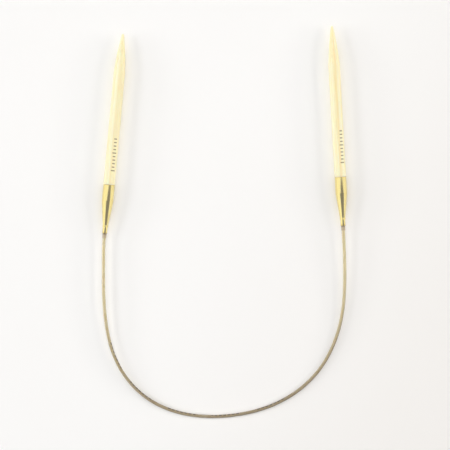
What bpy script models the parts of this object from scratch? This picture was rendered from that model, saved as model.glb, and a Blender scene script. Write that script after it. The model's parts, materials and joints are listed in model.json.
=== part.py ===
"""Circular knitting needle, lying in a U on a flat surface.

Two tapered bamboo needles are each fixed in a brass ferrule. The head of a pin
turns freely inside each ferrule, and a crimp collar holds the nylon cable on the
pin's tail. Metres, +Z up. The origin is on the surface, midway between the needles.
"""

import math

import bmesh
import bpy
import numpy as np
from mathutils import Matrix, Vector

MM = 0.001

# Driving dimensions of a needle unit, with heights measured along its axis from
# the ferrule's mouth (0) to the needle's tip
GAUGE = 5.0 * MM  # the needle's size: the diameter of its shaft
UNIT_LENGTH = 87.2 * MM
FERRULE_LENGTH = 21.3 * MM
CLEARANCE = 0.3 * MM  # between neighbouring pieces

# Bamboo needle
TIP_RADIUS = 0.6 * MM
TAPER_LENGTH = 17.0 * MM
TENON_LENGTH = 6.7 * MM
EDGE = 0.1 * MM  # the small chamfer on a turned edge

# Brass ferrule
BARREL_HEIGHT = 14.2 * MM  # where the cylinder meets the cone
NECK_HEIGHT = 3.6 * MM  # where the cone meets the neck's bead
NECK_RADIUS = 1.2 * MM
BEAD_HEIGHT = 3.0 * MM
BEAD_RADIUS = 1.28 * MM
BEAD_HALF_LENGTH = 0.6 * MM
MOUTH_RADIUS = 1.08 * MM
MOUTH_LIP = 0.1 * MM
SOCKET_RADIUS = 2.1 * MM  # takes the tenon
CHAMBER_RADIUS = 1.4 * MM  # the pin's head turns in it
CHAMBER_HEIGHT = 8.0 * MM  # the shoulder that keeps the head in
NECK_BORE_RADIUS = 0.7 * MM

# Swivel pin and crimp collar
PIN_HEAD_THICKNESS = 1.5 * MM
PIN_TAIL_DEPTH = 1.6 * MM  # how far the tail comes out of the mouth
COLLAR_LENGTH = 1.7 * MM
COLLAR_RADIUS = 0.86 * MM

# Nylon cable
CABLE_RADIUS = 0.7 * MM
CABLE_REST_HEIGHT = 0.72 * MM  # its axis, where it lies on the surface
CABLE_POINT_SPACING = 2.5 * 2 * CABLE_RADIUS

# Sides of the turned pieces, each a multiple of four, so that a facet faces down
NEEDLE_SIDES = 32
PIN_SIDES = 16
CABLE_BEVEL_RESOLUTION = 2

# The shaft's lowest facet lies on the surface
AXIS_HEIGHT = GAUGE / 2 * math.cos(math.pi / NEEDLE_SIDES)

# Where each ferrule's mouth is, and how far its needle's tip leans towards +X
MOUTHS = {
    "left": (Vector((-52.2 * MM, -44.4 * MM, AXIS_HEIGHT)), math.radians(5.25)),
    "right": (Vector((51.6 * MM, -41.1 * MM, AXIS_HEIGHT)), math.radians(-3.2)),
}

# The cable's axis from the left collar to the right one, in mm, without its two ends
CABLE_ROUTE = [
    (-52.7, -57.7, 2.5),
    (-52.6, -70.9, 2.5),
    (-51.5, -84.1, 2.35),
    (-48.4, -96.8, 2.0),
    (-42.0, -108.3, 1.55),
    (-32.2, -117.2, 1.15),
    (-20.1, -122.4, 0.85),
    (-7.0, -124.2, 0.74),
    (6.2, -123.3, 0.72),
    (19.0, -120.0, 0.72),
    (30.8, -113.8, 0.72),
    (40.5, -104.8, 0.76),
    (47.2, -93.5, 0.95),
    (51.0, -80.8, 1.25),
    (52.3, -67.6, 1.7),
    (52.2, -54.4, 2.3),
]
FLEX_POINT = Vector((-3 * MM, -124.2 * MM, CABLE_REST_HEIGHT))


def clear_scene():
    for old in list(bpy.data.objects):
        bpy.data.objects.remove(old, do_unlink=True)


def material(name, colour, roughness, metallic=0.0):
    made = bpy.data.materials.new(name)
    made.use_nodes = True
    shader = made.node_tree.nodes["Principled BSDF"]
    shader.inputs["Base Color"].default_value = (*colour, 1.0)
    shader.inputs["Roughness"].default_value = roughness
    shader.inputs["Metallic"].default_value = metallic
    return made


def add(name, data, look, parent=None):
    """Link an object that holds the data, sits on its parent's origin and has the material."""
    made = bpy.data.objects.new(name, data)
    data.materials.append(look)
    made.parent = parent
    bpy.context.collection.objects.link(made)
    return made


def empty(name, location, lean=None, parent=None):
    """An empty on a joint's axis. With a lean, its own +Z runs along the needle to the tip."""
    made = bpy.data.objects.new(name, None)
    made.empty_display_size = 5 * MM
    made.parent = parent
    made.location = location
    if lean is not None:
        made.rotation_euler = (math.radians(-90), 0, -lean)
    bpy.context.collection.objects.link(made)
    return made


def turned(name, outline, sides, look, parent):
    """A solid turned about its own Z axis.

    The outline is a list of (height, radius) points. It either starts and ends on
    the axis or, for a piece with a bore, is a ring whose last point joins its first.
    """
    shape = bmesh.new()
    corners = [shape.verts.new((radius, 0, height)) for height, radius in outline]
    edges = [shape.edges.new(pair) for pair in zip(corners, corners[1:])]
    if outline[0][1] > 0:
        edges.append(shape.edges.new((corners[-1], corners[0])))
    bmesh.ops.spin(
        shape, geom=corners + edges, cent=(0, 0, 0), dvec=(0, 0, 0),
        axis=(0, 0, 1), angle=math.tau, steps=sides, use_merge=True,
    )
    bmesh.ops.remove_doubles(shape, verts=shape.verts, dist=1e-6)
    half_a_side = Matrix.Rotation(math.pi / sides, 3, "Z")
    bmesh.ops.rotate(shape, verts=shape.verts, cent=(0, 0, 0), matrix=half_a_side)
    bmesh.ops.recalc_face_normals(shape, faces=shape.faces)
    mesh = bpy.data.meshes.new(name)
    shape.to_mesh(mesh)
    shape.free()
    mesh.shade_smooth()
    mesh.set_sharp_from_angle(angle=math.radians(30))
    return add(name, mesh, look, parent)


def taper(t):
    """How far the needle has widened, from 0 at its rounded tip to 1 at its straight shaft."""
    return (t + math.sin(t * math.pi / 2)) / 2


def needle_outline():
    """Round tip, smooth taper, straight shaft, and the tenon that goes into the ferrule."""
    outline = []
    for turn in (0, 25, 50, 75):
        angle = math.radians(turn)
        height = UNIT_LENGTH - TIP_RADIUS * (1 - math.cos(angle))
        outline.append((height, TIP_RADIUS * math.sin(angle)))
    taper_steps = 9
    for step in range(taper_steps + 1):
        share = step / taper_steps
        below_tip = TIP_RADIUS + share * (TAPER_LENGTH - TIP_RADIUS)
        radius = TIP_RADIUS + taper(share) * (GAUGE / 2 - TIP_RADIUS)
        outline.append((UNIT_LENGTH - below_tip, radius))
    shoulder = FERRULE_LENGTH + CLEARANCE
    tenon_radius = SOCKET_RADIUS - CLEARANCE
    tenon_end = FERRULE_LENGTH - TENON_LENGTH
    outline += [
        (shoulder + EDGE, GAUGE / 2),
        (shoulder, GAUGE / 2 - EDGE),
        (shoulder, tenon_radius),
        (tenon_end + EDGE, tenon_radius),
        (tenon_end, tenon_radius - EDGE),
        (tenon_end, 0),
    ]
    return outline


def ferrule_outline():
    """The outside from rim to mouth, then the stepped bore from mouth to rim."""
    radius = GAUGE / 2
    return [
        (FERRULE_LENGTH, radius - EDGE),
        (FERRULE_LENGTH - EDGE, radius),
        (BARREL_HEIGHT, radius),
        (NECK_HEIGHT, NECK_RADIUS),
        (BEAD_HEIGHT, BEAD_RADIUS),
        (BEAD_HEIGHT - BEAD_HALF_LENGTH, MOUTH_RADIUS),
        (MOUTH_LIP, MOUTH_RADIUS),
        (0, MOUTH_RADIUS - MOUTH_LIP),
        (0, NECK_BORE_RADIUS),
        (CHAMBER_HEIGHT, NECK_BORE_RADIUS),
        (CHAMBER_HEIGHT, CHAMBER_RADIUS),
        (BARREL_HEIGHT, CHAMBER_RADIUS),
        (BARREL_HEIGHT, SOCKET_RADIUS),
        (FERRULE_LENGTH, SOCKET_RADIUS),
    ]


def pin_outline():
    """A flat head on the chamber's shoulder, and a straight tail out through the neck."""
    head_radius = CHAMBER_RADIUS - CLEARANCE
    tail_radius = NECK_BORE_RADIUS - CLEARANCE
    head_bottom = CHAMBER_HEIGHT + CLEARANCE
    head_top = head_bottom + PIN_HEAD_THICKNESS
    return [
        (head_top, 0),
        (head_top, head_radius - EDGE),
        (head_top - EDGE, head_radius),
        (head_bottom, head_radius),
        (head_bottom, tail_radius),
        (-PIN_TAIL_DEPTH, tail_radius),
        (-PIN_TAIL_DEPTH, 0),
    ]


def collar_outline():
    """A short ring under the mouth, round the pin's tail."""
    top = -CLEARANCE
    bottom = top - COLLAR_LENGTH
    return [
        (top, COLLAR_RADIUS - EDGE),
        (top - EDGE, COLLAR_RADIUS),
        (bottom + EDGE, COLLAR_RADIUS),
        (bottom, COLLAR_RADIUS - EDGE),
        (bottom, NECK_BORE_RADIUS),
        (top, NECK_BORE_RADIUS),
    ]


def needle_direction(lean):
    """The unit vector from a ferrule's mouth to its needle's tip."""
    return Vector((math.sin(lean), math.cos(lean), 0))


def cable_end(side):
    """Where the cable's axis starts under the collar."""
    mouth, lean = MOUTHS[side]
    return mouth - needle_direction(lean) * (COLLAR_LENGTH + 2 * CLEARANCE)


def curve_slopes(knots, points, first, last):
    """Slopes at the knots of the smooth cubic curve through the points, with known end slopes."""
    count = len(points)
    gaps = np.diff(knots)
    weights = np.eye(count)
    sums = np.zeros((count, 3))
    sums[0], sums[-1] = first, last
    for i in range(1, count - 1):
        before, after = gaps[i - 1], gaps[i]
        weights[i, i - 1 : i + 2] = 1 / before, 2 / before + 2 / after, 1 / after
        into = (points[i] - points[i - 1]) / before**2
        out_of = (points[i + 1] - points[i]) / after**2
        sums[i] = 3 * (into + out_of)
    return np.linalg.solve(weights, sums)


def cable_axis(spacing):
    """Points at an even spacing on the smooth curve through the cable's route."""
    route = [Vector(point) * MM for point in CABLE_ROUTE]
    points = np.array([cable_end("left"), *route, cable_end("right")])
    knots = np.append(0, np.cumsum(np.linalg.norm(np.diff(points, axis=0), axis=1)))
    first = -needle_direction(MOUTHS["left"][1])
    last = needle_direction(MOUTHS["right"][1])
    slopes = curve_slopes(knots, points, first, last)
    fine = []
    for i, gap in enumerate(np.diff(knots)):
        for t in np.linspace(0, 1, 40, endpoint=False):
            fine.append(
                (1 + 2 * t) * (1 - t) ** 2 * points[i]
                + t * (1 - t) ** 2 * gap * slopes[i]
                + t * t * (3 - 2 * t) * points[i + 1]
                - t * t * (1 - t) * gap * slopes[i + 1]
            )
    fine = np.array([*fine, points[-1]])
    run = np.append(0, np.cumsum(np.linalg.norm(np.diff(fine, axis=0), axis=1)))
    places = np.linspace(0, run[-1], round(run[-1] / spacing) + 1)
    return np.stack([np.interp(places, run, fine[:, axis]) for axis in range(3)], axis=1)


def cable(look):
    """One plain tube along the route, with capped ends."""
    curve = bpy.data.curves.new("cable", "CURVE")
    curve.dimensions = "3D"
    curve.bevel_depth = CABLE_RADIUS
    curve.bevel_resolution = CABLE_BEVEL_RESOLUTION
    curve.use_fill_caps = True
    axis = cable_axis(CABLE_POINT_SPACING)
    spline = curve.splines.new("POLY")
    spline.points.add(len(axis) - 1)
    for point, place in zip(spline.points, axis):
        point.co = (*place, 1)
    return add("cable", curve, look)


def needle_unit(side, looks, swivel, pin_carrier):
    """The needle and ferrule that turn, and the pin and collar that they turn on."""
    turned(f"{side}_needle", needle_outline(), NEEDLE_SIDES, looks["bamboo"], swivel)
    turned(f"{side}_ferrule", ferrule_outline(), NEEDLE_SIDES, looks["brass"], swivel)
    turned(f"{side}_swivel_pin", pin_outline(), PIN_SIDES, looks["steel"], pin_carrier)
    turned(f"{side}_crimp_collar", collar_outline(), PIN_SIDES, looks["collar"], pin_carrier)


def main():
    clear_scene()
    looks = {
        "bamboo": material("bamboo", (0.93, 0.80, 0.48), 0.45),
        "brass": material("brass", (0.83, 0.66, 0.24), 0.2, metallic=1.0),
        "steel": material("steel", (0.55, 0.54, 0.52), 0.3, metallic=1.0),
        "collar": material("collar", (0.47, 0.38, 0.25), 0.5),
    }
    cable(material("nylon", (0.50, 0.42, 0.28), 0.35))
    flex = empty("cable_flex", FLEX_POINT)
    for side, (mouth, lean) in MOUTHS.items():
        joint, at = (None, mouth) if side == "left" else (flex, mouth - FLEX_POINT)
        pin_carrier = empty(f"{side}_cable_end", at, lean, joint)
        swivel = empty(f"{side}_swivel", (0, 0, 0), parent=pin_carrier)
        needle_unit(side, looks, swivel, pin_carrier)


main()
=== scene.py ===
import json
import math

import bpy
import numpy as np
from mathutils import Matrix, Vector


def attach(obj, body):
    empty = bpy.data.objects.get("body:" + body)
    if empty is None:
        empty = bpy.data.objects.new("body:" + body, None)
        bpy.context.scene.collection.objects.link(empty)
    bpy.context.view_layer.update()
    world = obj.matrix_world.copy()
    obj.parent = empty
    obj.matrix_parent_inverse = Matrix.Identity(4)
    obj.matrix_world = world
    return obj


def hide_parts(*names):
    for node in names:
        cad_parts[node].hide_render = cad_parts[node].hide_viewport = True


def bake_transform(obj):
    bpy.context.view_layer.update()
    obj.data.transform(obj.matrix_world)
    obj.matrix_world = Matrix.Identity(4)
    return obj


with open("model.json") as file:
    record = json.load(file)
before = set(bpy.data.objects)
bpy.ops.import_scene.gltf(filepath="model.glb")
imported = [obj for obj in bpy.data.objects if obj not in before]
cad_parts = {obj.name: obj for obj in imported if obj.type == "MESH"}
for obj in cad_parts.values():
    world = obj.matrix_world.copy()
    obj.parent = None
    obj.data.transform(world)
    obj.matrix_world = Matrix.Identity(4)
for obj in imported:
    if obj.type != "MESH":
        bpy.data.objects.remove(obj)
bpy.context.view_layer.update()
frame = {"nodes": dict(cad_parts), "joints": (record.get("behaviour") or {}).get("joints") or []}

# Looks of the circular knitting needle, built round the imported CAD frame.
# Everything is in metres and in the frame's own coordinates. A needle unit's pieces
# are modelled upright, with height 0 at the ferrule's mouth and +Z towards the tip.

MM = 0.001

# Sizes that the CAD solids share
SHAFT_RADIUS = 2.5 * MM
UNIT_LENGTH = 87.2 * MM
FERRULE_LENGTH = 21.3 * MM
TIP_RADIUS = 0.6 * MM
TAPER_LENGTH = 17.0 * MM
TENON_LENGTH = 6.7 * MM
TENON_RADIUS = 1.8 * MM
BARREL_HEIGHT = 14.2 * MM
NECK_HEIGHT = 3.6 * MM
NECK_RADIUS = 1.2 * MM
BEAD_HEIGHT = 3.0 * MM
BEAD_RADIUS = 1.28 * MM
BEAD_HALF_LENGTH = 0.6 * MM
MOUTH_RADIUS = 1.08 * MM
SOCKET_RADIUS = 2.1 * MM  # the bore that holds the tenon
CHAMBER_HEIGHT = 8 * MM
CHAMBER_RADIUS = 1.4 * MM  # the bore that holds the swivel pin's head
NECK_BORE_RADIUS = 0.7 * MM
COLLAR_RADIUS = 0.86 * MM
CABLE_RADIUS = 0.7 * MM

# Sizes that are finer than the CAD's, which keeps wider clearances
COLLAR_TOP = -0.03 * MM  # just clear of the mouth, which turns on it
COLLAR_LENGTH = 1.97 * MM
COLLAR_CLEARANCE = 0.01 * MM  # round the cable
CABLE_START = 1.6 * MM  # how far below a mouth the cable starts, inside the collar
NEEDLE_LIFT = 0.04 * MM  # from the ferrule's rim to the needle's shoulder
CHAMFER_DEPTH = 0.06 * MM  # of the shoulder's edge, into the shaft
CHAMFER_LENGTH = 0.08 * MM
FERRULE_ROUNDING = 0.12 * MM
COLLAR_ROUNDING = 0.05 * MM
ROUNDING_SHARE = 0.45  # the most of an outline's side that one rounding takes

# How finely the pieces are made
NEEDLE_SIDES = 96
FERRULE_SIDES = 128
COLLAR_SIDES = 64
CABLE_SIDES = 24
CABLE_SPACING = 0.45 * MM
CURVE_STEPS = 60  # between two points of the cable's route
TIP_STEP = 6  # degrees
TAPER_STEPS = 48
SHAFT_STEPS = 60
BEAD_HALF_STEPS = 6
ROUNDING_STEPS = 5
SHARP_ANGLE = math.radians(40)

# The cable's route, as in the CAD source, in mm, without its two ends
CABLE_ROUTE = [
    (-52.7, -57.7, 2.5),
    (-52.6, -70.9, 2.5),
    (-51.5, -84.1, 2.35),
    (-48.4, -96.8, 2.0),
    (-42.0, -108.3, 1.55),
    (-32.2, -117.2, 1.15),
    (-20.1, -122.4, 0.85),
    (-7.0, -124.2, 0.74),
    (6.2, -123.3, 0.72),
    (19.0, -120.0, 0.72),
    (30.8, -113.8, 0.72),
    (40.5, -104.8, 0.76),
    (47.2, -93.5, 0.95),
    (51.0, -80.8, 1.25),
    (52.3, -67.6, 1.7),
    (52.2, -54.4, 2.3),
]

# Camera: straight down, far enough away for nearly parallel lines of sight
CAMERA_HEIGHT = 0.9
VIEW_WIDTH = 0.1964
VIEW_CENTRE = (0.0002, -0.0407)
SENSOR = 36
CLIP_START = 0.05
CLIP_END = 10

# Printed marks: ticks along a needle's shaft, and dashes along the middle of the cable
MARK_EDGE = 0.04  # how softly a mark starts and ends, as a share of its pitch
TICKS_START = 26.75 * MM  # from the ferrule's mouth
TICKS_RUN = 15.3 * MM
TICK_PITCH = 1.53 * MM
TICK_WIDTH = 0.5 * MM
LONG_TICK = 1.9 * MM
SHORT_TICK = 1.3 * MM
LONG_TICK_EVERY = 5
TICKS_TURN = math.radians(29)  # from the shaft's upper side towards +X
TICK_EDGE = 0.05 * MM
TICK_ROW_EDGE = 0.01 * MM
DASHES_START = 42 * MM  # from the cable's left end
DASHES_RUN = 100 * MM
DASH_PITCH = 1.9 * MM
DASH_LENGTH = 1.2 * MM
DASH_TURN = 0.385  # round the cable, where 0.25 is its upper side and 0.5 its inner side
DASH_HALF_TURN = 0.065
DASH_EDGE = 0.01  # of a turn
DASH_ROW_EDGE = 0.1 * MM
GROUP_PITCH = 20 * MM  # the dashes come in groups
GROUP_LENGTH = 13 * MM

# Grain, wear and painted shade
GRAIN_STARTS = {"left": (0, 0, 0), "right": (3, 9, 4)}  # so that the needles aren't alike
STREAKS = {"left": 0.2, "right": 0.8}  # how strong the honey-coloured streak is along each needle
STREAK_TURN = math.radians(5)  # from the shaft's upper side towards +X
STREAK_HALF_TURN = math.radians(9)
STREAK_EDGE = math.radians(8)
MOUTH_TARNISH = 1.4 * MM  # how far the brass is duller, from the ferrule's mouth
RIM_TARNISH = 0.5 * MM  # and from its rim
LIP_SHADE_START = 0.05 * MM  # where the painted shade at the mouth's lip starts to fade
LIP_SHADE_END = 0.25 * MM
MOUTH_SHADE_LENGTH = 0.9 * MM  # painted shade, down the collar from the ferrule's mouth
PAINTED_SHADE_MIDDLE = 109 * MM  # painted shade on the middle run, from the cable's left end
PAINTED_SHADE_HALF_RUN = 66 * MM
PAINTED_SHADE_EDGE = 36 * MM
OUTER_SHADE_MIDDLE = 150 * MM  # painted shade: the cable's outer side is coloured darker here
OUTER_SHADE_HALF_RUN = 45 * MM
OUTER_SHADE_EDGE = 25 * MM
OUTER_SHADE_TURN = 0.07  # fully shaded up to this share of a turn from the outer side
OUTER_SHADE_END_TURN = 0.25

# Colours
PLAIN = (1, 1, 1, 1)
BAMBOO_PALE = (0.955, 0.93, 0.69, 1)
BAMBOO_DEEP = (0.945, 0.85, 0.53, 1)
BAMBOO_FIBRE = (0.93, 0.80, 0.48, 1)
BAMBOO_BUNDLE = (0.84, 0.64, 0.34, 1)
BAMBOO_PORE = (0.55, 0.36, 0.16, 1)
HONEY = (0.90, 0.70, 0.34, 1)
TICK_INK = (0.16, 0.11, 0.06, 1)
BRASS_BRIGHT = (0.95, 0.81, 0.36, 1)
BRASS_SMUDGED = (0.91, 0.73, 0.29, 1)
BRASS_SPECK = (0.70, 0.50, 0.16, 1)
BRASS_TARNISHED = (0.62, 0.45, 0.17, 1)
# painted shade colour, for the lip of the ferrule's mouth
LIP_SHADE_BROWN = (0.26, 0.19, 0.11, 1)
COLLAR_DARK = (0.46, 0.37, 0.25, 1)
COLLAR_PALE = (0.58, 0.48, 0.33, 1)
COLLAR_RUBBED = (0.68, 0.57, 0.40, 1)
# painted shade colour, for the cable's outer side and for the collar next to the ferrule's mouth
SHADE_BROWN = (0.22, 0.17, 0.11, 1)
NYLON_TAN = ((0.70, 0.62, 0.385, 1), (0.67, 0.59, 0.355, 1))
# the second pair is painted shade, for the cable's middle run
NYLON_PAINTED_SHADE = ((0.395, 0.32, 0.20, 1), (0.37, 0.30, 0.185, 1))
DIE_LINE = (0.92, 0.90, 0.87, 1)
DASH_INK = (0.05, 0.035, 0.03, 1)
STEEL_BRIGHT = (0.62, 0.61, 0.59, 1)
STEEL_DULL = (0.50, 0.49, 0.47, 1)
BOARD_PALE = (0.955, 0.950, 0.945, 1)
BOARD_DULL = (0.945, 0.938, 0.928, 1)

# The floor, and a tent of light whose dark patches are ellipses on the sky seen from below
FLOOR_HALF_WIDTH = 1.5
FLOOR_GAP = 0.03 * MM
FLOOR_LIGHT = 1.155
FALL_OFF_START = -0.01  # painted shade: the board's colour darkens along +X and half as much along -Y, where the light falls off
FALL_OFF_END = 0.18
FALL_OFF_ALONG_Y = -0.5
FALL_OFF_SHADE = (0.94, 0.925, 0.91, 1)
LEFT_STRENGTH = 1.09
RIGHT_STRENGTH = 0.97
TENT_COLOUR = (1.0, 0.99, 0.975, 1)
DARK_STRENGTH = 0.26
DARK_COLOUR = (0.97, 1.0, 1.35, 1)
PATCH_EDGE = 0.12
PATCHES = [  # middle, half width, half depth, turn
    ((0.14, -0.22), 0.64, 0.355, math.radians(14)),
    ((-0.22, 0.62), 0.26, 0.36, 0),
    ((0.20, -0.82), 0.30, 0.16, 0),
]
FAR = 1000  # flattens the patches' third direction

# Panels: name, direction towards it, distance, width, height, share of the floor's light, colour
WHITE = (1, 1, 1)
WARM = (1.0, 0.95, 0.88)
LIGHTS = [
    ("overhead", (-0.08, 0.24, 1), 1.0, 0.45, 0.45, 0.15, WHITE),
    ("ceiling", (0, 0, 1), 1.1, 2.4, 2.4, 1.17, WHITE),
    ("left_high", (-1, 0.05, 0.5), 2.0, 0.8, 0.4, 0.108, WHITE),
    ("left_low", (-1, 0.05, 0.22), 2.0, 0.8, 0.24, 0.043, WHITE),
    ("right_high", (1, 0.05, 0.5), 2.0, 0.8, 0.4, 0.096, WARM),
    ("right_low", (1, 0.05, 0.23), 2.0, 0.8, 0.24, 0.043, WARM),
]

SCENE = bpy.context.scene
JOINTS = {joint["name"]: joint for joint in frame["joints"]}
SIDES = ("left", "right")


def needle_axis(side):
    """A ferrule's mouth, and the unit vector from it to the needle's tip."""
    joint = JOINTS[f"{side}_swivel"]
    return Vector(joint["pos_m"]), Vector(joint["axis"]).normalized()


def upright_to_place(side):
    """The matrix that lays an upright needle unit in its place, with its own +Y facing down."""
    mouth, along = needle_axis(side)
    down = Vector((0, 0, -1))
    across = down.cross(along)
    turn = Matrix((across, down, along)).transposed()
    return Matrix.Translation(mouth) @ turn.to_4x4()


# ---------------------------------------------------------------- camera


def make_camera():
    data = bpy.data.cameras.new("camera")
    data.sensor_width = SENSOR
    data.lens = SENSOR * CAMERA_HEIGHT / VIEW_WIDTH
    data.clip_start = CLIP_START
    data.clip_end = CLIP_END
    camera = bpy.data.objects.new("camera", data)
    camera.location = (*VIEW_CENTRE, CAMERA_HEIGHT)
    SCENE.collection.objects.link(camera)
    SCENE.camera = camera


# ---------------------------------------------------------------- meshes


def new_mesh(name, vertices, faces, uvs=None):
    """A smooth mesh object. uvs is one (u, v) for each vertex of each face."""
    mesh = bpy.data.meshes.new(name)
    mesh.from_pydata([tuple(v) for v in vertices], [], faces)
    if uvs is not None:
        layer = mesh.uv_layers.new(name="UVMap")
        layer.data.foreach_set("uv", np.array(uvs, np.float32).ravel())
    mesh.validate()
    mesh.shade_smooth()
    made = bpy.data.objects.new(name, mesh)
    SCENE.collection.objects.link(made)
    return made


def curve_slopes(knots, points, first, last):
    """Slopes at the knots of the smooth cubic curve through the points, with known end slopes."""
    count = len(points)
    gaps = np.diff(knots)
    weights = np.eye(count)
    sums = np.zeros((count, 3))
    sums[0], sums[-1] = first, last
    for i in range(1, count - 1):
        before, after = gaps[i - 1], gaps[i]
        weights[i, i - 1 : i + 2] = 1 / before, 2 / before + 2 / after, 1 / after
        into = (points[i] - points[i - 1]) / before**2
        out_of = (points[i + 1] - points[i]) / after**2
        sums[i] = 3 * (into + out_of)
    return np.linalg.solve(weights, sums)


def cable_axis(spacing):
    """Points at an even spacing along the cable's axis, from inside one collar to inside the other."""
    (left, left_along), (right, right_along) = (needle_axis(side) for side in SIDES)
    ends = [left - left_along * CABLE_START, right - right_along * CABLE_START]
    route = [Vector(point) * MM for point in CABLE_ROUTE]
    points = np.array([ends[0], *route, ends[1]])
    knots = np.append(0, np.cumsum(np.linalg.norm(np.diff(points, axis=0), axis=1)))
    slopes = curve_slopes(knots, points, -left_along, right_along)
    fine = []
    for i, gap in enumerate(np.diff(knots)):
        for t in np.linspace(0, 1, CURVE_STEPS, endpoint=False):
            fine.append(
                (1 + 2 * t) * (1 - t) ** 2 * points[i]
                + t * (1 - t) ** 2 * gap * slopes[i]
                + t * t * (3 - 2 * t) * points[i + 1]
                - t * t * (1 - t) * gap * slopes[i + 1]
            )
    fine = np.array([*fine, points[-1]])
    run = np.append(0, np.cumsum(np.linalg.norm(np.diff(fine, axis=0), axis=1)))
    places = np.linspace(0, run[-1], round(run[-1] / spacing) + 1)
    return np.stack([np.interp(places, run, fine[:, axis]) for axis in range(3)], axis=1)


def tube(name, axis, radius, sides):
    """A closed tube along the points of its axis, with u round it and v along it in metres."""
    steps = np.gradient(axis, axis=0)
    along = steps / np.linalg.norm(steps, axis=1)[:, None]
    across = np.cross(along, (0, 0, 1))
    across /= np.linalg.norm(across, axis=1)[:, None]
    up = np.cross(across, along)
    angles = np.arange(sides) * math.tau / sides
    ring = np.cos(angles)[None, :, None] * across[:, None] + np.sin(angles)[None, :, None] * up[:, None]
    vertices = (axis[:, None] + radius * ring).reshape(-1, 3)
    run = np.append(0, np.cumsum(np.linalg.norm(np.diff(axis, axis=0), axis=1)))
    faces, uvs = [], []
    for i in range(len(axis) - 1):
        for k in range(sides):
            n = (k + 1) % sides
            faces.append((i * sides + k, i * sides + n, (i + 1) * sides + n, (i + 1) * sides + k))
            u0, u1 = k / sides, (k + 1) / sides
            uvs += [(u0, run[i]), (u1, run[i]), (u1, run[i + 1]), (u0, run[i + 1])]
    last = (len(axis) - 1) * sides
    faces.append(tuple(range(sides - 1, -1, -1)))
    uvs += [(k / sides, run[0]) for k in range(sides - 1, -1, -1)]
    faces.append(tuple(range(last, last + sides)))
    uvs += [(k / sides, run[-1]) for k in range(sides)]
    return new_mesh(name, vertices, faces, uvs)


def turned(name, outline, sides):
    """A closed solid turned about +Z from (height, radius) points, from pole to pole or as a ring."""
    ring_shaped = outline[0][1] > 0
    vertices, faces, starts = [], [], []
    for height, radius in outline:
        starts.append(len(vertices))
        count = sides if radius > 0 else 1
        for k in range(count):
            angle = k * math.tau / sides
            vertices.append((radius * math.cos(angle), radius * math.sin(angle), height))
    pairs = list(zip(range(len(outline)), range(1, len(outline))))
    if ring_shaped:
        pairs.append((len(outline) - 1, 0))
    for a, b in pairs:
        for k in range(sides):
            n = (k + 1) % sides
            upper = [starts[a] + k, starts[a] + n] if outline[a][1] > 0 else [starts[a]]
            lower = [starts[b] + n, starts[b] + k] if outline[b][1] > 0 else [starts[b]]
            faces.append(tuple(upper + lower)[::-1])
    made = new_mesh(name, vertices, faces)
    made.data.set_sharp_from_angle(angle=SHARP_ANGLE)
    return made


def taper(t):
    """How far the needle has widened, from 0 at its rounded tip to 1 at its straight shaft."""
    return (t + math.sin(t * math.pi / 2)) / 2


def rounded(outline, radius):
    """The outline with each corner but its two ends rounded, by up to the radius."""
    points = [Vector(p) for p in outline]
    result = [points[0]]
    for before, corner, after in zip(points, points[1:], points[2:]):
        to_before, to_after = before - corner, after - corner
        cut = min(radius, to_before.length * ROUNDING_SHARE, to_after.length * ROUNDING_SHARE)
        start = corner + to_before.normalized() * cut
        end = corner + to_after.normalized() * cut
        for i in range(ROUNDING_STEPS + 1):
            t = i / ROUNDING_STEPS
            result.append(start * (1 - t) ** 2 + corner * 2 * t * (1 - t) + end * t * t)
    result.append(points[-1])
    return [tuple(p) for p in result]


# ---------------------------------------------------------------- materials


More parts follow.
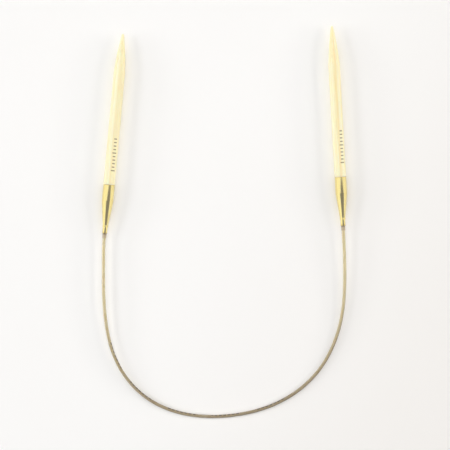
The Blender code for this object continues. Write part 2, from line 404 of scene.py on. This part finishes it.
class Nodes:
    """Short ways to add nodes to a tree, and to link them to the shader that it ends in."""

    def __init__(self, tree, shader):
        self.tree = tree
        self.shader = tree.nodes[shader]

    def node(self, kind, inputs, output=0, **settings):
        """A node with its settings. Each input is set to a value or linked to a socket."""
        made = self.tree.nodes.new(kind)
        for name, value in settings.items():
            setattr(made, name, value)
        for key, value in inputs.items():
            if isinstance(value, bpy.types.NodeSocket):
                self.tree.links.new(value, made.inputs[key])
            else:
                made.inputs[key].default_value = value
        return made.outputs[output]

    def feed(self, socket, source):
        self.tree.links.new(source, self.shader.inputs[socket])

    def place(self, kind="Object"):
        return self.node("ShaderNodeTexCoord", {}, kind)

    def parts(self, vector):
        """The X, Y and Z of a vector."""
        split = self.node("ShaderNodeSeparateXYZ", {0: vector}).node
        return tuple(split.outputs)

    def noise(self, place, grain, offset=(0, 0, 0), detail=2.0, rough=0.5, warp=0.0):
        """Noise from 0 to 1, whose grain is the size in metres of its cells along X, Y and Z."""
        scale = tuple(1 / size for size in grain)
        placed = self.node("ShaderNodeMapping", {"Vector": place, "Location": offset, "Scale": scale})
        inputs = {
            "Vector": placed, "Scale": 1.0, "Detail": detail, "Roughness": rough, "Distortion": warp,
        }
        return self.node("ShaderNodeTexNoise", inputs)

    def scale(self, value, low, high, to_low=0.0, to_high=1.0, soft=True):
        """The value's range from low to high carried over to another range, and held at its ends."""
        inputs = {0: value, 1: low, 2: high, 3: to_low, 4: to_high}
        kind = "SMOOTHSTEP" if soft else "LINEAR"
        return self.node("ShaderNodeMapRange", inputs, interpolation_type=kind, clamp=True)

    def math(self, operation, a, b=0.0, c=0.0):
        return self.node("ShaderNodeMath", {0: a, 1: b, 2: c}, operation=operation)

    def product(self, first, *others):
        for other in others:
            first = self.math("MULTIPLY", first, other)
        return first

    def band(self, value, middle, half_width, edge):
        """1 where the value is within the half width of the middle, with soft edges."""
        away = self.math("ABSOLUTE", self.math("SUBTRACT", value, middle))
        return self.scale(away, half_width - edge, half_width + edge, 1.0, 0.0)

    def row(self, value, start, pitch, length):
        """1 on marks of the length that repeat at the pitch."""
        share = self.math("FRACT", self.math("DIVIDE", self.math("SUBTRACT", value, start), pitch))
        return self.band(share, 0.5, 0.5 * length / pitch, MARK_EDGE)

    def mix(self, share, a, b):
        """Colour a where the share is 0, and colour b where it is 1."""
        return self.node("ShaderNodeMix", {0: share, 6: a, 7: b}, output=2, data_type="RGBA")

    def multiply(self, a, b):
        inputs = {0: 1.0, 6: a, 7: b}
        return self.node("ShaderNodeMix", inputs, output=2, data_type="RGBA", blend_type="MULTIPLY")

    def bump(self, height, depth):
        """Relief whose height goes from 0 to the depth in metres."""
        self.feed("Normal", self.node("ShaderNodeBump", {"Height": height, "Distance": depth}))


class Look(Nodes):
    """A Principled material, with the values that are the same all over it set on its shader."""

    def __init__(self, name, **values):
        self.material = bpy.data.materials.new(name)
        self.material.use_nodes = True
        super().__init__(self.material.node_tree, "Principled BSDF")
        for socket, value in values.items():
            self.shader.inputs[socket.replace("_", " ")].default_value = value


def bamboo_look(side):
    """Pale polished bamboo: straight fibres, fine darker bundles, and a row of printed ticks."""
    look = Look(
        f"bamboo_{side}", Subsurface_Weight=0.5, Subsurface_Scale=1.2 * MM,
        Subsurface_Radius=(1.0, 0.8, 0.5), Coat_Weight=0.2, Coat_Roughness=0.25,
    )
    place = look.place()
    x, y, z = look.parts(place)
    turn = look.math("ARCTAN2", x, look.product(y, -1.0))
    start = GRAIN_STARTS[side]
    bands = look.noise(place, (1.1 * MM, 1.1 * MM, 110 * MM), start, detail=1)
    fibres = look.noise(place, (0.2 * MM, 0.2 * MM, 9 * MM), start, detail=3, rough=0.65)
    bundles = look.noise(place, (0.32 * MM, 0.32 * MM, 14 * MM), start, detail=1)
    pores = look.noise(place, (0.12 * MM, 0.12 * MM, 2.2 * MM), start, detail=1)
    colour = look.mix(look.scale(bands, 0.3, 0.7), BAMBOO_PALE, BAMBOO_DEEP)
    colour = look.mix(look.scale(fibres, 0.35, 0.75, 0.0, 0.7), colour, BAMBOO_FIBRE)
    colour = look.mix(look.scale(bundles, 0.60, 0.70, 0.0, 0.5), colour, BAMBOO_BUNDLE)
    colour = look.mix(look.scale(pores, 0.7, 0.78, 0.0, 0.35), colour, BAMBOO_PORE)
    streak = look.band(turn, STREAK_TURN, STREAK_HALF_TURN, STREAK_EDGE)
    strength = look.scale(bands, 0.2, 0.6, STREAKS[side], 0.6 * STREAKS[side])
    colour = look.mix(look.product(streak, strength), colour, HONEY)
    ink = size_ticks(look, place, z, turn)
    look.feed("Base Color", look.mix(ink, colour, TICK_INK))
    look.feed("Roughness", look.scale(fibres, 0.3, 0.8, 0.32, 0.5))
    look.bump(fibres, 0.012 * MM)
    return look.material


def size_ticks(look, place, z, turn):
    """1 on the ink of the ticks: a row along the shaft, a little round from its upper side."""
    lengthwise = look.row(z, TICKS_START, TICK_PITCH, TICK_WIDTH)
    long_start = TICKS_START - (LONG_TICK_EVERY - 1) / 2 * TICK_PITCH  # makes the first tick a long one
    long_share = look.row(z, long_start, LONG_TICK_EVERY * TICK_PITCH, TICK_PITCH)
    half_length = look.scale(long_share, 0.0, 1.0, SHORT_TICK / 2, LONG_TICK / 2)
    away = look.math("ABSOLUTE", look.product(look.math("SUBTRACT", turn, TICKS_TURN), SHAFT_RADIUS))
    around = look.scale(look.math("SUBTRACT", away, half_length), -TICK_EDGE, TICK_EDGE, 1.0, 0.0)
    row = look.band(z, TICKS_START + TICKS_RUN / 2, TICKS_RUN / 2, TICK_ROW_EDGE)
    worn = look.scale(look.noise(place, (0.15 * MM, 0.15 * MM, 0.15 * MM)), 0.3, 0.5, 0.4, 0.8)
    return look.product(lengthwise, around, row, worn)


def brass_look():
    """Polished brass with fine turning lines, faint handling marks, a duller rim and mouth, and painted
    shade on the mouth's lip.
    """
    look = Look("ferrule_brass", Metallic=1.0)
    place = look.place()
    z = look.parts(place)[2]
    lines = look.noise(place, (30 * MM, 30 * MM, 0.07 * MM), detail=3, rough=0.7)
    smudges = look.noise(place, (2.5 * MM, 2.5 * MM, 4 * MM), detail=3, warp=0.6)
    specks = look.noise(place, (0.25 * MM, 0.25 * MM, 0.25 * MM), detail=1)
    mouth = look.scale(z, 0.0, MOUTH_TARNISH, 1.0, 0.0)
    rim = look.scale(z, FERRULE_LENGTH - RIM_TARNISH, FERRULE_LENGTH, 0.0, 0.6)
    # Painted shade on the lip of the ferrule's mouth.
    lip_shade = look.scale(z, LIP_SHADE_START, LIP_SHADE_END, 0.85, 0.0)
    tarnish = look.math("MAXIMUM", mouth, rim)
    colour = look.mix(look.scale(smudges, 0.35, 0.7, 0.0, 0.5), BRASS_BRIGHT, BRASS_SMUDGED)
    colour = look.mix(look.scale(specks, 0.72, 0.8, 0.0, 0.4), colour, BRASS_SPECK)
    colour = look.mix(look.product(tarnish, 0.45), colour, BRASS_TARNISHED)
    look.feed("Base Color", look.mix(lip_shade, colour, LIP_SHADE_BROWN))
    rough = look.scale(smudges, 0.3, 0.75, 0.10, 0.19)
    rough = look.math("ADD", rough, look.product(tarnish, 0.12))
    look.feed("Roughness", look.math("ADD", rough, look.scale(lines, 0.4, 0.8, 0.0, 0.06)))
    look.bump(lines, 0.003 * MM)
    return look.material


def collar_look():
    """A brown crimped ring, rubbed paler on its edges, with painted shade darkening it next to the
    ferrule's mouth.
    """
    look = Look("collar_brown", Metallic=0.35)
    place = look.place()
    z = look.parts(place)[2]
    grain = look.noise(place, (0.12 * MM, 0.12 * MM, 0.3 * MM), detail=3)
    middle = COLLAR_TOP - COLLAR_LENGTH / 2
    away = look.math("ABSOLUTE", look.math("SUBTRACT", z, middle))
    rubbed = look.scale(away, COLLAR_LENGTH * 0.36, COLLAR_LENGTH * 0.5)
    colour = look.mix(look.scale(grain, 0.3, 0.7), COLLAR_DARK, COLLAR_PALE)
    colour = look.mix(look.product(rubbed, 0.6), colour, COLLAR_RUBBED)
    # Painted shade: the collar is coloured darker next to the ferrule's mouth.
    mouth_shade = look.scale(z, COLLAR_TOP - MOUTH_SHADE_LENGTH, COLLAR_TOP, 0.0, 0.9)
    look.feed("Base Color", look.mix(mouth_shade, colour, SHADE_BROWN))
    look.feed("Roughness", look.scale(grain, 0.3, 0.7, 0.3, 0.5))
    look.bump(grain, 0.006 * MM)
    return look.material


def nylon_look():
    """Tan, milky nylon: faint lines from the die, painted shade on its middle run and its outer side,
    and dashes.
    """
    look = Look(
        "cable_nylon", IOR=1.53, Transmission_Weight=0.12,
        Subsurface_Scale=0.8 * MM, Subsurface_Radius=(1.0, 0.8, 0.5),
    )
    along = look.place("UV")
    u, v, _ = look.parts(along)
    die_lines = look.noise(along, (0.03, 40 * MM, 1), detail=2, rough=0.6)
    clouds = look.noise(along, (0.6, 9 * MM, 1), detail=3)
    scuffs = look.noise(along, (0.02, 1.2 * MM, 1), detail=2)
    tan_colour = look.mix(look.scale(clouds, 0.3, 0.7), *NYLON_TAN)
    painted_shade_middle = look.mix(look.scale(clouds, 0.3, 0.7), *NYLON_PAINTED_SHADE)
    # Painted shade: the cable's middle run is coloured darker, where it lies on the floor and along the
    # light.
    colour = look.mix(look.band(v, PAINTED_SHADE_MIDDLE, PAINTED_SHADE_HALF_RUN, PAINTED_SHADE_EDGE), tan_colour, painted_shade_middle)
    # Painted shade on the outer side of the cable's right arm.
    outer_side = look.scale(look.math("PINGPONG", u, 0.5), OUTER_SHADE_TURN, OUTER_SHADE_END_TURN, 1.0, 0.0)
    outer_shade = look.product(outer_side, look.band(v, OUTER_SHADE_MIDDLE, OUTER_SHADE_HALF_RUN, OUTER_SHADE_EDGE))
    colour = look.mix(look.product(outer_shade, 0.9), colour, SHADE_BROWN)
    colour = look.multiply(colour, look.mix(look.scale(die_lines, 0.4, 0.7), PLAIN, DIE_LINE))
    ink = cable_dashes(look, u, v)
    look.feed("Base Color", look.mix(look.product(ink, 0.9), colour, DASH_INK))
    look.feed("Subsurface Weight", look.scale(ink, 0.0, 1.0, 0.7, 0.0, soft=False))
    rough = look.scale(clouds, 0.3, 0.7, 0.24, 0.36)
    look.feed("Roughness", look.math("ADD", rough, look.scale(scuffs, 0.6, 0.8, 0.0, 0.2)))
    look.bump(die_lines, 0.008 * MM)
    return look.material


def cable_dashes(look, u, v):
    """1 on the ink of the dashes: groups along the cable, between its upper and inner sides."""
    lengthwise = look.row(v, DASHES_START, DASH_PITCH, DASH_LENGTH)
    groups = look.row(v, DASHES_START, GROUP_PITCH, GROUP_LENGTH)
    around = look.band(u, DASH_TURN, DASH_HALF_TURN, DASH_EDGE)
    row = look.band(v, DASHES_START + DASHES_RUN / 2, DASHES_RUN / 2, DASH_ROW_EDGE)
    return look.product(lengthwise, groups, around, row)


def steel_look():
    """Bright steel with a fine grain, for the pins, which keep their CAD meshes."""
    look = Look("pin_steel", Metallic=1.0)
    place = look.place()
    grain = look.noise(place, (0.1 * MM, 0.1 * MM, 0.1 * MM), detail=3)
    look.feed("Base Color", look.mix(grain, STEEL_BRIGHT, STEEL_DULL))
    look.feed("Roughness", look.scale(grain, 0.3, 0.7, 0.22, 0.38))
    look.bump(grain, 0.004 * MM)
    return look.material


# ---------------------------------------------------------------- pieces


def make_cable(look):
    axis = cable_axis(CABLE_SPACING)
    cable = tube("cable_skin", axis, CABLE_RADIUS, CABLE_SIDES)
    cable.data.materials.append(look)
    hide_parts("cable")
    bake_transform(cable)


def needle_outline():
    """The rounded tip, the taper and the shaft, then the shoulder and the tenon behind it."""
    outline = [(UNIT_LENGTH, 0)]
    for turn in range(TIP_STEP, 90, TIP_STEP):
        angle = math.radians(turn)
        height = UNIT_LENGTH - TIP_RADIUS * (1 - math.cos(angle))
        outline.append((height, TIP_RADIUS * math.sin(angle)))
    for step in range(TAPER_STEPS + 1):
        share = step / TAPER_STEPS
        below_tip = TIP_RADIUS + share * (TAPER_LENGTH - TIP_RADIUS)
        radius = TIP_RADIUS + taper(share) * (SHAFT_RADIUS - TIP_RADIUS)
        outline.append((UNIT_LENGTH - below_tip, radius))
    shoulder = FERRULE_LENGTH + NEEDLE_LIFT
    taper_end = UNIT_LENGTH - TAPER_LENGTH
    for step in range(1, SHAFT_STEPS):
        outline.append((taper_end + (shoulder - taper_end) * step / SHAFT_STEPS, SHAFT_RADIUS))
    outline += [
        (shoulder + CHAMFER_LENGTH, SHAFT_RADIUS),
        (shoulder, SHAFT_RADIUS - CHAMFER_DEPTH),
        (shoulder, TENON_RADIUS),
        (FERRULE_LENGTH - TENON_LENGTH, TENON_RADIUS),
        (FERRULE_LENGTH - TENON_LENGTH, 0),
    ]
    return outline


def ferrule_outline():
    """The outside with its rolled bead on the neck, then the stepped bore."""
    bead = []
    for step in range(-BEAD_HALF_STEPS, BEAD_HALF_STEPS + 1):
        share = step / BEAD_HALF_STEPS
        height = BEAD_HEIGHT - share * BEAD_HALF_LENGTH
        side = NECK_RADIUS if share < 0 else MOUTH_RADIUS
        bead.append((height, side + (BEAD_RADIUS - side) * math.cos(share * math.pi / 2) ** 2))
    outer = [
        (FERRULE_LENGTH, SOCKET_RADIUS),
        (FERRULE_LENGTH, SHAFT_RADIUS),
        (BARREL_HEIGHT, SHAFT_RADIUS),
        (NECK_HEIGHT, NECK_RADIUS),
        *bead,
        (0, MOUTH_RADIUS),
        (0, NECK_BORE_RADIUS),
    ]
    inner = [
        (CHAMBER_HEIGHT, NECK_BORE_RADIUS),
        (CHAMBER_HEIGHT, CHAMBER_RADIUS),
        (BARREL_HEIGHT, CHAMBER_RADIUS),
        (BARREL_HEIGHT, SOCKET_RADIUS),
    ]
    return rounded(outer, FERRULE_ROUNDING) + inner


def collar_outline():
    """A plain ring round the cable."""
    top, bottom = COLLAR_TOP, COLLAR_TOP - COLLAR_LENGTH
    bore = CABLE_RADIUS + COLLAR_CLEARANCE
    corners = [(top, bore), (top, COLLAR_RADIUS), (bottom, COLLAR_RADIUS), (bottom, bore)]
    return rounded(corners, COLLAR_ROUNDING)


def make_needle_unit(side, looks):
    """One needle with its ferrule, and the collar and the pin of the cable's end in it."""
    place = upright_to_place(side)
    rows = [
        ("needle", "bamboo", needle_outline(), NEEDLE_SIDES, f"{side}_needle_unit"),
        ("ferrule", "ferrule_brass", ferrule_outline(), FERRULE_SIDES, f"{side}_needle_unit"),
        ("crimp_collar", "collar", collar_outline(), COLLAR_SIDES, f"{side}_cable_end"),
    ]
    for part, slot, outline, sides, body in rows:
        piece = turned(f"{side}_{part}_skin", outline, sides)
        piece.data.materials.append(bamboo_look(side) if slot == "bamboo" else looks[slot])
        piece.matrix_world = place
        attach(piece, body)
        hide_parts(f"{side}_{part}")
    pin = frame["nodes"][f"{side}_swivel_pin"]
    pin.data.materials.clear()
    pin.data.materials.append(looks["pin_steel"])


# ---------------------------------------------------------------- floor and light


def floor_look():
    """Smooth white board with the faintest tooth, and painted shade darkening it towards one corner."""
    look = Look("floor", Specular_IOR_Level=0.1)
    place = look.place()
    tooth = look.noise(place, (0.4 * MM, 0.4 * MM, 0.4 * MM), detail=3)
    clouds = look.noise(place, (60 * MM, 60 * MM, 60 * MM), detail=2)
    x, y, _ = look.parts(place)
    # Painted shade: the light's fall-off across the floor is coloured in.
    towards_corner = look.math("MULTIPLY_ADD", y, FALL_OFF_ALONG_Y, x)
    fall_off_shade = look.mix(look.scale(towards_corner, FALL_OFF_START, FALL_OFF_END), PLAIN, FALL_OFF_SHADE)
    look.feed("Base Color", look.multiply(look.mix(clouds, BOARD_PALE, BOARD_DULL), fall_off_shade))
    look.feed("Roughness", look.scale(tooth, 0.3, 0.7, 0.75, 0.9))
    look.bump(tooth, 0.01 * MM)
    return look.material


def make_floor():
    corners = [(x, y, 0) for x, y in ((-1, -1), (1, -1), (1, 1), (-1, 1))]
    floor = new_mesh("floor", [Vector(corner) * FLOOR_HALF_WIDTH for corner in corners], [(0, 1, 2, 3)])
    floor.location.z = -FLOOR_GAP
    floor.data.materials.append(floor_look())


def outside_patches(nodes, towards):
    """1 where a direction is clear of every dark patch, and 0 inside one."""
    outside = 1.0
    for middle, half_width, half_depth, turn in PATCHES:
        inputs = {
            "Vector": towards, "Location": (*middle, 0), "Rotation": (0, 0, turn),
            "Scale": (half_width, half_depth, FAR),
        }
        patch = nodes.node("ShaderNodeMapping", inputs, vector_type="TEXTURE")
        away = nodes.node("ShaderNodeVectorMath", {0: patch}, output=1, operation="LENGTH")
        outside = nodes.product(nodes.scale(away, 1 - PATCH_EDGE, 1 + PATCH_EDGE), outside)
    return outside


def make_world():
    """The white tent that the gloss mirrors, with soft dark patches where the room shows through."""
    world = bpy.data.worlds.new("studio")
    world.use_nodes = True
    world.cycles_visibility.diffuse = False
    SCENE.world = world
    nodes = Nodes(world.node_tree, "Background")
    towards = nodes.place("Generated")
    outside = outside_patches(nodes, towards)
    tent = nodes.scale(nodes.parts(towards)[0], -1.0, 1.0, LEFT_STRENGTH, RIGHT_STRENGTH, soft=False)
    nodes.feed("Strength", nodes.scale(outside, 0.0, 1.0, DARK_STRENGTH, tent, soft=False))
    nodes.feed("Color", nodes.mix(outside, DARK_COLOUR, TENT_COLOUR))


def make_lights():
    """Soft panels that face the needle. Each one's share is its part of the light on the floor."""
    for name, direction, distance, width, height, share, colour in LIGHTS:
        towards = Vector(direction).normalized()
        data = bpy.data.lights.new(name, "AREA")
        data.shape = "RECTANGLE"
        data.size, data.size_y = width, height
        data.energy = FLOOR_LIGHT * share * (math.pi * distance) ** 2 / towards.z
        data.color = colour
        light = bpy.data.objects.new(name, data)
        light.location = Vector((*VIEW_CENTRE, 0)) + towards * distance
        light.rotation_euler = towards.to_track_quat("Z", "Y").to_euler()
        light.visible_glossy = False
        SCENE.collection.objects.link(light)


make_camera()
make_cable(nylon_look())
LOOKS = {"ferrule_brass": brass_look(), "collar": collar_look(), "pin_steel": steel_look()}
for needle_side in SIDES:
    make_needle_unit(needle_side, LOOKS)
make_floor()
make_world()
make_lights()
SCENE.view_settings.view_transform = "Standard"
